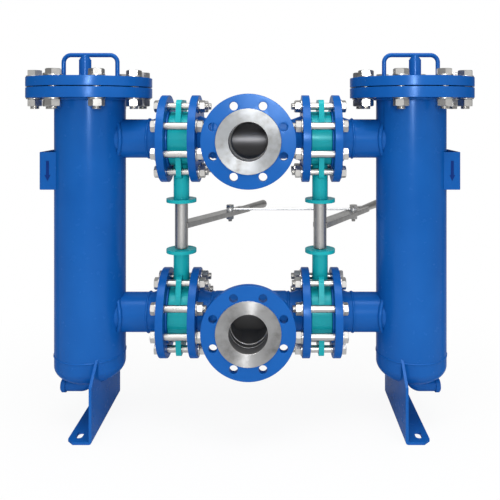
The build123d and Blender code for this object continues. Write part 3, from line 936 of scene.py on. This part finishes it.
# Flow arrows on the front arms of the brackets
ARROW_LENGTH = 0.045
ARROW_HALF_W = 0.0065
ARROW_STEM_HALF_W = 0.0032
ARROW_HEAD = 0.0135
ARROW_T = 0.0006


def flow_arrow():
    """Flat arrow that points down, drawn in the XZ plane with its back at y = 0."""
    top = ARROW_LENGTH / 2
    neck = -top + ARROW_HEAD
    outline = [(-ARROW_STEM_HALF_W, top), (-ARROW_STEM_HALF_W, neck), (-ARROW_HALF_W, neck),
               (0, -top),
               (ARROW_HALF_W, neck), (ARROW_STEM_HALF_W, neck), (ARROW_STEM_HALF_W, top)]
    form = bmesh.new()
    face = form.faces.new([form.verts.new((x, 0, z)) for x, z in outline])
    grown = bmesh.ops.extrude_face_region(form, geom=[face])["geom"]
    front = picked(grown, bmesh.types.BMVert)
    bmesh.ops.translate(form, verts=front, vec=(0, -ARROW_T, 0))
    bmesh.ops.recalc_face_normals(form, faces=form.faces)
    return form


def add_arrows():
    for side in SIDES:
        arm = middle(side + "_plate_bracket")
        arm.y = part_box(side + "_plate_bracket")[0].y
        arrow = (flow_arrow(), [Matrix.Translation(arm)])
        add_piece(side + "_flow_arrow", [arrow], arrow_paint, "root")


# Studio: a soft light all round, and what gloss sees of the room, by direction
SOFT_LIGHT = 0.72
BACK_SHARE = 0.4
SIDE_LIGHT = 0.12
SKY_LIGHT = 0.35
ROOM_LIGHT = 1.2
LEFT_WALL = 0.25
SIDE_WALLS = 0.2
CEILING_LIGHT = 0.5
WHITE = 1.0
LEFT_WALL_ENDS = (-0.80, -0.70)
SIDE_WALLS_START = (-0.4, 0.1)
CEILING_START = (0.35, 0.9)
BACKDROP_START = (0.90, 0.95)
SOFTBOXES = {
    "key box": {"place": (0.10, -1.9, 0.27), "target": (0, 0.1, 0.0),
                "width": 0.2, "height": 0.32, "power": 16},
    "overhead box": {"place": (0.1, -0.5, 2.2), "target": (0, 0.1, -0.2),
                     "width": 2.2, "height": 1.4, "power": 42},
}
FLOOR_HALF = 12
FLOOR_GREY = (0.86, 0.86, 0.86)
FLOOR_ROUGHNESS = 0.9
FADE_REACH = (0.6, 1.3)
FADE_SHARE = (0.88, 1.0)


def add_camera():
    data = bpy.data.cameras.new("camera")
    data.sensor_width = SENSOR_WIDTH
    data.lens = FOCAL_PIXELS * SENSOR_WIDTH / IMAGE_SIZE
    data.shift_x = (IMAGE_SIZE / 2 - AXIS_PIXEL[0]) / IMAGE_SIZE
    data.shift_y = (AXIS_PIXEL[1] - IMAGE_SIZE / 2) / IMAGE_SIZE
    data.clip_end = CLIP_END
    camera = bpy.data.objects.new("camera", data)
    camera.location = CAMERA_PLACE
    camera.rotation_euler = (math.pi / 2, 0, 0)
    bpy.context.scene.collection.objects.link(camera)
    bpy.context.scene.camera = camera


def add_softbox(name, place, target, width, height, power):
    data = bpy.data.lights.new(name, "AREA")
    data.shape = "RECTANGLE"
    data.size = width
    data.size_y = height
    data.energy = power
    lamp = bpy.data.objects.new(name, data)
    lamp.location = place
    direction = Vector(target) - Vector(place)
    lamp.rotation_euler = direction.to_track_quat("-Z", "Y").to_euler()
    bpy.context.scene.collection.objects.link(lamp)


def add_world():
    """Soft light from all round; gloss sees a dim room and, behind the object, a white backdrop."""
    world = bpy.data.worlds.new("studio")
    bpy.context.scene.world = world
    world.use_nodes = True
    tree = NodeTree(world.node_tree)
    parts = tree.add("SeparateXYZ")
    tree.link(tree.add("TexCoord").outputs["Generated"], parts.inputs[0])
    across, away, up = (parts.outputs[axis] for axis in "XYZ")
    path = tree.add("LightPath").outputs

    front_to_back = tree.ramp(away, -1.0, 0.0, SOFT_LIGHT, BACK_SHARE * SOFT_LIGHT)
    left_to_right = tree.ramp(across, -1.0, 1.0, -SIDE_LIGHT, SIDE_LIGHT)
    around = tree.math("ADD", front_to_back, left_to_right)
    around = tree.math("ADD", around, tree.ramp(up, 0.0, 1.0, 0.0, SKY_LIGHT))

    front = tree.mix_value(tree.ramp(across, *LEFT_WALL_ENDS), LEFT_WALL, ROOM_LIGHT)
    walls = tree.mix_value(tree.ramp(away, *SIDE_WALLS_START), front, SIDE_WALLS)
    room = tree.math("ADD", walls, tree.ramp(up, *CEILING_START, 0.0, CEILING_LIGHT))
    glossy = tree.mix_value(tree.ramp(away, *BACKDROP_START), room, WHITE)

    lit = tree.mix_value(path["Is Glossy Ray"], around, glossy)
    clear = tree.math("MAXIMUM", path["Is Camera Ray"], path["Is Transmission Ray"])
    light = tree.tree.nodes["Background"]
    light.inputs["Color"].default_value = (1, 1, 1, 1)
    tree.link(tree.mix_value(clear, lit, WHITE), light.inputs["Strength"])


def add_floor():
    """Pale floor that keeps the shadow and shows white to the camera."""
    form = bmesh.new()
    bmesh.ops.create_grid(form, x_segments=1, y_segments=1, size=FLOOR_HALF)
    mesh = bpy.data.meshes.new("floor")
    form.to_mesh(mesh)
    form.free()
    mesh.transform(raised(cad_low[2]))
    floor = bpy.data.objects.new("floor", mesh)
    bpy.context.scene.collection.objects.link(floor)
    surface = Surface("floor").set(Base_Color=FLOOR_GREY, Roughness=FLOOR_ROUGHNESS)
    white = surface.ramp(surface.length(surface.place), *FADE_REACH, *FADE_SHARE)
    seen = surface.add("LightPath").outputs["Is Camera Ray"]
    glow = surface.add("Emission")
    blend = surface.add("MixShader")
    surface.link(surface.math("MULTIPLY", seen, white), blend.inputs["Fac"])
    surface.link(surface.shader.outputs[0], blend.inputs[1])
    surface.link(glow.outputs[0], blend.inputs[2])
    surface.link(blend.outputs[0], surface.tree.nodes["Material Output"].inputs["Surface"])
    mesh.materials.append(surface.material)


dress_nodes()
add_fasteners()
add_vessel_welds()
add_cover_welds()
add_front_faces()
add_baskets()
add_arrows()
add_floor()
add_world()
for box_name, softbox in SOFTBOXES.items():
    add_softbox(box_name, **softbox)
add_camera()
bpy.context.scene.view_settings.view_transform = "Standard"
